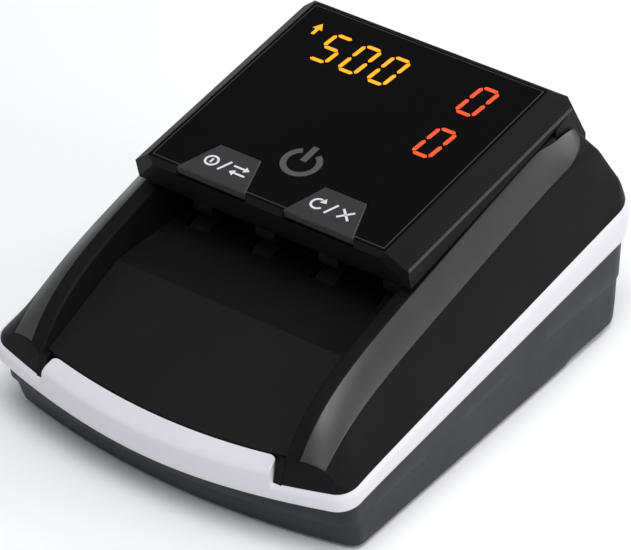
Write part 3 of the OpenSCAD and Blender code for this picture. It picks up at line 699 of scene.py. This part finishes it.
def make_upper_housing():
    land = [42.5, 42.54, 42.66, 42.85, 43.15, 43.5, 44.4, 45.6, 46.7, 47.0, 47.2, 47.4, 47.7]
    land += [48.28, 48.32, 49.4, 51, 52.6, 53.8, 54.3, 54.6, 54.9, 55.3]
    outer = [mix(55.3, BODY_HW, math.sin(math.pi / 2 * i / 16)) for i in range(1, 17)]
    middle = spaced(0, CHANNEL_X, 15)[:-1]
    right = middle + land + outer
    xs = [-x for x in right[:0:-1]] + right
    grid = [housing_rows(abs(x)) for x in xs]
    count = len(grid[0])
    points = [(x, y, housing_z(x, y)) for x, rows in zip(xs, grid) for y in rows]
    wall_row = grid[0].index(REAR_WALL_Y)
    faces = []
    for i in range(len(xs) - 1):
        centre = (xs[i] + xs[i + 1]) / 2
        start = wall_row if abs(centre) < CHANNEL_X else 0
        faces += [(i * count + j, (i + 1) * count + j, (i + 1) * count + j + 1, i * count + j + 1)
                  for j in range(start, count - 1)]
    # channel walls and the front wall of the rear part, down into the case
    for side in (-1, 1):
        i = min(range(len(xs)), key=lambda k: abs(xs[k] - side * CHANNEL_X))
        low = len(points)
        rows = grid[i][:wall_row + 1]
        points += [(side * CHANNEL_X, y, min(20.0, band_low(y) + 1)) for y in rows]
        faces += [(i * count + j, i * count + j + 1, low + j + 1, low + j) for j in range(wall_row)]
    left = min(range(len(xs)), key=lambda k: abs(xs[k] + CHANNEL_X))
    span = [k for k in range(left, len(xs)) if xs[k] < CHANNEL_X + 0.001]
    low = len(points)
    points += [(xs[k], REAR_WALL_Y, 20.0) for k in span]
    faces += [(span[n] * count + wall_row, span[n + 1] * count + wall_row, low + n + 1, low + n)
              for n in range(len(span) - 1)]
    obj = tidy_mesh(link_mesh("upper_housing_shell", points, faces), 0.004)
    clamp_to_case(solidify(obj, 1.7))
    slot = [(50, 43), (REAR_WALL_Y, 43), (90, 49.4), (90, 51.2), (REAR_WALL_Y, 45.8), (50, 45.8)]
    boolean(obj, across("tool", -42.3, 42.3, slot))
    # returns that close the front between the channel walls and the ends of the lip
    front = front_y_of(41.4)
    low = band_high(front)
    toe = [(front, low - 3), (front + 0.02, low + 0.05), (front + 1.68, 29.9), (front + 1.9, 30.1),
           (front + 3.6, 30.3), (front + 3.6, low - 3)]
    near, far = LIP_X + 0.35, CHANNEL_X + 0.6
    ends = [across("return", -far, -near, toe), across("return", near, far, toe)]
    obj = joined("upper_housing_shell", [obj] + ends)
    return piece(shade(obj, 32), "base", "housing_black", "upper_housing")


# ---------- grey strips ----------

def make_strip(side):
    """Thin inlay on the sloping facet of a cheek, standing proud by a hair, with a rounded rear end. Its
    light grey is partly the strip's own tone and partly painted highlight, standing for the light that falls
    on this upward-facing facet.
    """
    rear, tip, steps = 63.0, 14.0, 76
    rings = []
    for i in range(steps + 1):
        f = i / steps
        y_mid = mix(-70.6, rear - 0.05, f)
        d = max(y_mid - (rear - tip), 0) / tip
        wide = math.sqrt(max(1 - d * d, 0.0004))
        inner = LAND_X + 1.2 * smoothstep((y_mid - 43) / 9.5)
        outer = max(mix(LAND_X, STRIP_X, wide), inner + 0.05)
        ring = []
        edge = min(0.25, (outer - inner) / 4)
        for x, lift in ((inner, -0.7), (inner, -0.02), (inner + edge * 0.3, 0.1), (inner + edge, 0.15),
                        (mix(inner, outer, 0.5), 0.16), (outer - edge, 0.15), (outer - edge * 0.3, 0.1),
                        (outer, -0.02), (outer, -0.7)):
            start = toe_y_of(x) + 0.25
            y = mix(start, y_mid, min(f * 8, 1)) if f < 0.125 else y_mid
            skin = min(cheek_top(x, y), housing_z(x, y) + 0.3)
            ring.append((side * x, y, skin + lift * (1 if f > 0 else 0.5)))
        rings += ring
    count = 9
    faces = ring_faces(steps + 1, count)
    faces += [tuple(range(count)), tuple(range(steps * count + count - 1, steps * count - 1, -1))]
    name = "strip_right" if side > 0 else "strip_left"
    obj = tidy_mesh(link_mesh(name + "_inlay", rings, faces), 0.001)
    # the strip's light grey material is partly a painted highlight on the cheek facet
    return piece(shade(obj, 40), "base", "strip_satin", name)


# ---------- head ----------

PANEL_HW, PANEL_T, PANEL_LEN = 41.4, 2.2, 81.9
PANEL_Y0, PANEL_Z0, PANEL_TILT = -22.8, 72.1, math.radians(7.37)
HEAD_HW, BARREL_R = 47.8, 8.0
KEY_OUTLINE = ((6.6, -0.2), (30.8, -0.2), (25.6, 14), (11.2, 14))
KEY_U, KEY_V, STEM_R, STEM_HOLE_R = 18.6, 9, 2.0, 2.6


def panel_point(u, v, n):
    """A place across the panel (u), up the panel (v) and above its face (n)."""
    return (u, PANEL_Y0 + v * math.cos(PANEL_TILT) - n * math.sin(PANEL_TILT),
            PANEL_Z0 + v * math.sin(PANEL_TILT) + n * math.cos(PANEL_TILT))


def solid(name, outline, place, low, high):
    """A prism from an outline, set in space by place(a, b, height)."""
    points, faces = prism_between(outline, low, high)
    return tidy_mesh(link_mesh(name, [place(*p) for p in points], faces))


def on_panel(name, outline, low, high):
    return solid(name, outline, panel_point, low, high)


def across(name, x0, x1, outline):
    """A (y, z) outline extruded across the machine."""
    return solid(name, outline, lambda y, z, x: (x, y, z), x0, x1)


def block(name, low, high):
    outline = [(low[0], low[1]), (high[0], low[1]), (high[0], high[1]), (low[0], high[1])]
    return solid(name, outline, lambda x, y, z: (x, y, z), low[2], high[2])


def circle(r, count=48):
    turns = [2 * math.pi * i / count for i in range(count)]
    return [(r * math.cos(t), r * math.sin(t)) for t in turns]


def round_bar(name, r, start, end, count=48):
    """A cylinder from start to end."""
    axis = Vector(end) - Vector(start)
    side = axis.orthogonal().normalized()
    other = axis.normalized().cross(side)
    place = lambda a, b, h: tuple(Vector(start) + side * a + other * b + axis * h)
    return solid(name, circle(r, count), place, 0.0, 1.0)


def hull(name, points):
    """The smallest bulging solid round the points."""
    bm = bmesh.new()
    for p in points:
        bm.verts.new([c * MM for c in p])
    made = bmesh.ops.convex_hull(bm, input=bm.verts)
    loose = {g for g in made["geom_interior"] + made["geom_unused"] if isinstance(g, bmesh.types.BMVert)}
    bmesh.ops.delete(bm, geom=list(loose), context="VERTS")
    bmesh.ops.dissolve_limit(bm, angle_limit=math.radians(0.4), verts=bm.verts, edges=bm.edges)
    bmesh.ops.recalc_face_normals(bm, faces=bm.faces)
    mesh = bpy.data.meshes.new(name)
    bm.to_mesh(mesh)
    bm.free()
    obj = bpy.data.objects.new(name, mesh)
    scene.collection.objects.link(obj)
    return obj


def both_sides(points):
    return [(s * x, y, z) for x, y, z in points for s in (-1, 1)]


def clean(obj, angle=0.4):
    """Joins flat neighbours into one face."""
    bm = bmesh.new()
    bm.from_mesh(obj.data)
    bmesh.ops.remove_doubles(bm, verts=bm.verts, dist=0.002 * MM)
    bmesh.ops.dissolve_limit(bm, angle_limit=math.radians(angle), verts=bm.verts, edges=bm.edges)
    bm.to_mesh(obj.data)
    bm.free()
    return obj


def key_shape(gap=0.0, side=1):
    """Outline of a key with a gap round it."""
    (a, low), (b, _), (c, high), (d, _) = KEY_OUTLINE
    points = [(a - gap * 1.2, low - 3 * gap), (b + gap * 1.2, low - 3 * gap)]
    points += [(c + gap, high + gap), (d - gap, high + gap)]
    return [(side * u, v) for u, v in points][::side]


def key_bar(r, side, low, high):
    """Round bar along a key's stem, between two heights over the panel."""
    u = side * KEY_U
    return round_bar("tool", r, panel_point(u, KEY_V, low), panel_point(u, KEY_V, high), 32)


def make_head():
    top = [(PANEL_HW, PANEL_Y0, PANEL_Z0), (PANEL_HW, 58.4, 82.6), (HEAD_HW, -20.6, 66.4),
           (HEAD_HW, 61.8, 77.5), (45, 63.2, 79.6), (HEAD_HW, -19, 59.9), (HEAD_HW, 47.4, 73.2),
           (PANEL_HW - 2, -23.2, 69.6), (41, -17.6, 59)]
    leg = [(HEAD_HW, 61.8, 77.5), (45, 63.2, 79.6), (HEAD_HW, 69.5, 64.7), (HEAD_HW, 69.5, 60),
           (HEAD_HW, HINGE_Y - BARREL_R, 60), (HEAD_HW, 53.3, 73.9)]
    obj = hull("head_shell", both_sides(top))
    boolean(obj, hull("tool", both_sides(leg)), "UNION")
    barrel = [(x, HINGE_Y, HINGE_Z) for x in (-HEAD_HW, HEAD_HW)]
    boolean(obj, round_bar("tool", BARREL_R, *barrel, 72), "UNION")
    clean(obj)
    bevel(obj, 0.55, 3, 14)
    body = [(-19.4, 62.6), (-16.4, 57.2), (-14.6, 57.2), (-14.6, 66), (-19, 67)]
    boolean(obj, across("tool", -42, 42, body), "UNION")
    seat = [(-PANEL_HW, 0), (PANEL_HW, 0), (PANEL_HW, PANEL_LEN + 5), (-PANEL_HW, PANEL_LEN + 5)]
    boolean(obj, on_panel("tool", seat, -PANEL_T, 18))
    inside = [(-17.2, 60), (-14.3, 60), (-13.4, 58), (-13.4, 40), (51, 40), (51, 77.6)]
    inside += [(-16.2, 69), (-17.2, 66.4)]
    boolean(obj, across("tool", -40.2, 40.2, inside))
    boolean(obj, on_panel("tool", [(-38.4, 17), (38.4, 17), (38.4, 78), (-38.4, 78)], -12, 10))
    for side in (-1, 1):
        boolean(obj, on_panel("tool", key_shape(0.25, side), -3.6, 17))
        boolean(obj, key_bar(STEM_HOLE_R, side, -9, -3.4))
        boolean(obj, round_bar("tool", 1.55, (side * 39, HINGE_Y, HINGE_Z), (side * 60, HINGE_Y, HINGE_Z)))
    shade(clean(obj, 0.1), 30)
    return piece(flat_shaded_faces(obj), "head", "housing_black", "head_cover")


def make_panel():
    u, far = PANEL_HW - 0.1, PANEL_LEN - 0.1
    obj = on_panel("display_glass", [(-u, 0.1), (u, 0.1), (u, far), (-u, far)], -PANEL_T + 0.05, 0.0)
    for side in (-1, 1):
        boolean(obj, on_panel("tool", key_shape(0.25, side), -6, 6))
    bevel(clean(obj), 0.28, 3)
    return piece(flat_shaded_faces(shade(obj, 40)), "head", "panel_gloss", "display_panel")


def make_painted_highlight_rim():
    """Painted highlight line: a chamfer strip in light satin grey along the edge of the glass, standing in
    for the glint on the glass's edge.
    """
    section = ((-0.03, -0.45), (0.95, 0.06), (1.1, 0.03), (1.1, -0.25), (0.15, -0.65))
    u, far = PANEL_HW - 0.1, PANEL_LEN - 0.1
    corners = ((1, 0), (1, 1), (-1, 1), (-1, 0))
    points = [panel_point(side * (u - inset), far - inset if rear else 0.1 + inset, n)
              for side, rear in corners for inset, n in section]
    obj = tidy_mesh(link_mesh("panel_highlight_rim", points, ring_faces(4, len(section), closed_rings=True)))
    for side in (-1, 1):
        boolean(obj, on_panel("tool", key_shape(0.25, side), -6, 6))
    # strip_satin here colours a painted highlight line, not a part of the machine
    return piece(shade(obj, 20), "head", "strip_satin")


def make_crease_highlight_beads():
    """Painted highlight line: a thin bead in light satin grey along the crease of each side of the head,
    standing in for the glint on the rounded crease.
    """
    section = ((-0.55, 0.35), (-0.34, 0.4), (-0.1, 0.18), (0.06, -0.05), (0.06, -0.4), (-0.25, -0.5))
    crease = ((-20.2, 66.45), (61.2, 77.42))
    count = len(section)
    faces = ring_faces(2, count) + [tuple(range(count)), tuple(range(2 * count - 1, count - 1, -1))]
    beads = []
    for side in (-1, 1):
        points = [(side * (HEAD_HW + a), y, z + b) for y, z in crease for a, b in section]
        beads.append(tidy_mesh(link_mesh("crease_highlight", points, faces)))
    # strip_satin here colours a painted highlight line, not a part of the machine
    return piece(shade(joined("crease_highlight_beads", beads), 50), "head", "strip_satin")


SIGN_HALF, ARROW_HALF = 0.36, 1.25


def arc_band(u, v, inner, outer, start, end, steps=24):
    """Outline of a bent bar round (u, v), between two angles in degrees."""
    turns = [math.radians(a) for a in spaced(start, end, steps)]
    return ([(u + outer * math.cos(t), v + outer * math.sin(t)) for t in turns]
            + [(u + inner * math.cos(t), v + inner * math.sin(t)) for t in reversed(turns)])


def placed(shape, u, v, turn):
    """An outline turned by degrees and moved to (u, v)."""
    c, s = math.cos(math.radians(turn)), math.sin(math.radians(turn))
    return [(u + a * c - b * s, v + a * s + b * c) for a, b in shape]


def arrow_outline(u, v, length, turn=0.0):
    """Arrow from (u, v) along its length."""
    w, head, neck = SIGN_HALF, ARROW_HALF, length - 1.7
    shape = [(0, -w), (neck, -w), (neck, -head), (length, 0), (neck, head), (neck, w), (0, w)]
    return placed(shape, u, v, turn)


def bar_outline(u, v, length, turn):
    """Straight stroke with its middle at (u, v)."""
    h, w = length / 2, SIGN_HALF
    return placed([(-h, -w), (h, -w), (h, w), (-h, w)], u, v, turn)


def make_key_marks(side):
    """Generic printed signs: coin and turning arrows on the left key, repeat and clear on the right key."""
    name = "key_right" if side > 0 else "key_left"
    u, v = side * KEY_U - 0.5, 6.8
    slash = [bar_outline(u + 0.2, v, 5.0, 68)]
    if side < 0:
        signs = [arc_band(u - 4.4, v, 1.6, 2.3, 0, 359), bar_outline(u - 4.4, v, 1.9, 90),
                 arrow_outline(u + 2.6, v + 1.3, 5.4), arrow_outline(u + 8.0, v - 1.3, 5.4, 180)]
    else:
        signs = [arc_band(u - 4.4, v, 1.65, 2.35, 60, 330), arrow_outline(u - 4.2, v + 2.05, 2.2, -25),
                 bar_outline(u + 5.2, v, 5.4, 45), bar_outline(u + 5.2, v, 5.4, -45)]
    made = [on_panel("sign", outline, 0.28, 0.39) for outline in slash + signs]
    return piece(shade(joined(name + "_signs", made), 30), name, "trim_white")


def make_key(side):
    name = "key_right" if side > 0 else "key_left"
    obj = on_panel(name + "_cap", key_shape(0.0, side), -2.4, 0.35)
    bevel(obj, 0.4, 3)
    boolean(obj, key_bar(STEM_R, side, -3.2, -1.0), "UNION")
    return piece(flat_shaded_faces(shade(obj, 40)), name, "key_grey", name)


# ---------- small turned and crisp parts ----------

ROLLER_X = (-33.75, -11.25, 11.25, 33.75)
ROLLER_W, FEED_R, SHAFT_R, PINCH_R, PINCH_AXLE_R = 7, 9, 2.5, 4, 1.2
DRIVE = (("front", -4.0), ("rear", 42.0))
SHAFT_Z, PINCH_Z = 34.9, 48.2
CRISP_EDGES = (("lower_guide", 0.3), ("upper_guide", 0.25),
               ("lower_sensor_bar", 0.2), ("upper_sensor_bar", 0.2))


def turned(name, profile, start, axis, count=64):
    """Rings of a closed (along, radius) profile around an axis through start."""
    axis = Vector(axis).normalized()
    side = axis.orthogonal().normalized()
    other = axis.cross(side)
    points = []
    for i in range(count):
        t = 2 * math.pi * i / count
        out = side * math.cos(t) + other * math.sin(t)
        points += [tuple(Vector(start) + axis * a + out * r) for a, r in profile]
    return tidy_mesh(link_mesh(name, points, ring_faces(count, len(profile), closed_rings=True)))


def joined(name, objects):
    """Several separate solids as one piece."""
    bm = bmesh.new()
    for obj in objects:
        bm.from_mesh(obj.data)
    mesh = bpy.data.meshes.new(name)
    bm.to_mesh(mesh)
    bm.free()
    for obj in objects:
        bpy.data.objects.remove(obj)
    made = bpy.data.objects.new(name, mesh)
    scene.collection.objects.link(made)
    return made


def rib_profile(width, r, bore, ribs, depth):
    """Closed profile of a roller with rounded shoulders and fine ribs round it."""
    half = width / 2
    profile = [(-half, bore), (-half, r - 0.5), (-half + 0.15, r - 0.15), (-half + 0.5, r)]
    steps = ribs * 4
    for i in range(1, steps):
        a = mix(-half + 0.5, half - 0.5, i / steps)
        profile.append((a, r - depth * (1 - math.cos(2 * math.pi * i / 4)) / 2))
    return profile + [(half - 0.5, r), (half - 0.15, r - 0.15), (half, r - 0.5), (half, bore)]


def make_rollers():
    along = (1, 0, 0)
    feed_profile = rib_profile(ROLLER_W, FEED_R, SHAFT_R, 6, 0.25)
    pinch_profile = rib_profile(ROLLER_W, PINCH_R, PINCH_AXLE_R, 4, 0.2)
    for label, y in DRIVE:
        feed = [turned("roller", feed_profile, (x, y, SHAFT_Z), along, 96) for x in ROLLER_X]
        feed = shade(joined(label + "_feed_rollers", feed), 40)
        piece(feed, label + "_drive", "roller_rubber", label + "_rollers")
        pinch = [turned("roller", pinch_profile, (x, y, PINCH_Z), along) for x in ROLLER_X]
        pinch = shade(joined(label + "_pinch_tyres", pinch), 40)
        piece(pinch, label + "_pinch", "roller_rubber", label + "_pinch_rollers")


def make_feet():
    feet = []
    for x in (-46, 46):
        for y, height in ((-57, 1.0), (66, 2.0)):
            profile = [(0, 0.01), (0, 4.3), (0.12, 4.55), (0.4, 4.8), (0.7, 5.0)]
            profile += [(height, 5.0), (height, 0.01)]
            feet.append(turned("foot", profile, (x, y, 0), (0, 0, 1), 48))
    return piece(shade(joined("feet", feet), 40), "base", "foot_rubber", "rubber_feet")


def screw(start, axis, head_r, head_h, shank_r, length):
    """Pan-head screw with a cross recess; start is the flat of the head."""
    profile = [(0, 0.01), (0, head_r * 0.72), (head_h * 0.12, head_r * 0.9), (head_h * 0.4, head_r),
               (head_h, head_r), (head_h, shank_r), (length - 0.6, shank_r), (length, 0.2), (length, 0.01)]
    obj = turned("screw", profile, start, axis, 40)
    axis = Vector(axis).normalized()
    for side in (Vector((1, 0, 0)), Vector((0, 1, 0))):
        other = axis.cross(side)
        place = lambda a, b, h: tuple(Vector(start) + side * a + other * b + axis * h)
        r = head_r * 0.55
        cut = solid("tool", [(-r, -0.22), (r, -0.22), (r, 0.22), (-r, 0.22)], place, -1, head_h * 0.6)
        boolean(obj, cut)
    return obj


def make_screws():
    case = [screw((x, y, 2.5), (0, 0, 1), 2.7, 2.4, 1.4, band_high(y) + 5.5) for x, y in BOSSES]
    piece(shade(joined("case_screw_set", case), 35), "base", "screw_steel", "case_screws")
    head = [screw((x, y, 53), (0, 0, 1), 1.7, 1.6, 1.1, 10) for x in (-38.5, 38.5) for y in (4, 47)]
    piece(shade(joined("head_screw_set", head), 35), "head", "screw_steel", "head_screws")


def crisp(node, width, segments=2, angle=16):
    """A CAD part again with its flat neighbours joined and its edges broken."""
    source = nodes[node]
    obj = bpy.data.objects.new(node + "_part", source.data.copy())
    scene.collection.objects.link(obj)
    clean(obj, 1.0)
    bevel(obj, width, segments, angle)
    record = next(s for s in frame["record"]["subparts"] if s["node"] == node)
    bodies = frame["record"]["behaviour"]["bodies"]
    body = next(name for name, members in bodies.items() if node in members)
    return piece(flat_shaded_faces(shade(obj, angle)), body, record["material_slot"], node)


make_camera()
make_light()
make_floor()
make_materials()
paint_nodes()
make_band()
make_lower_case()
make_upper_housing()
for side in (-1, 1):
    make_strip(side)
    make_key(side)
    make_key_marks(side)
make_head()
make_panel()
make_painted_highlight_rim()
make_crease_highlight_beads()
make_rollers()
make_feet()
make_screws()
for part, width in CRISP_EDGES:
    crisp(part, width)
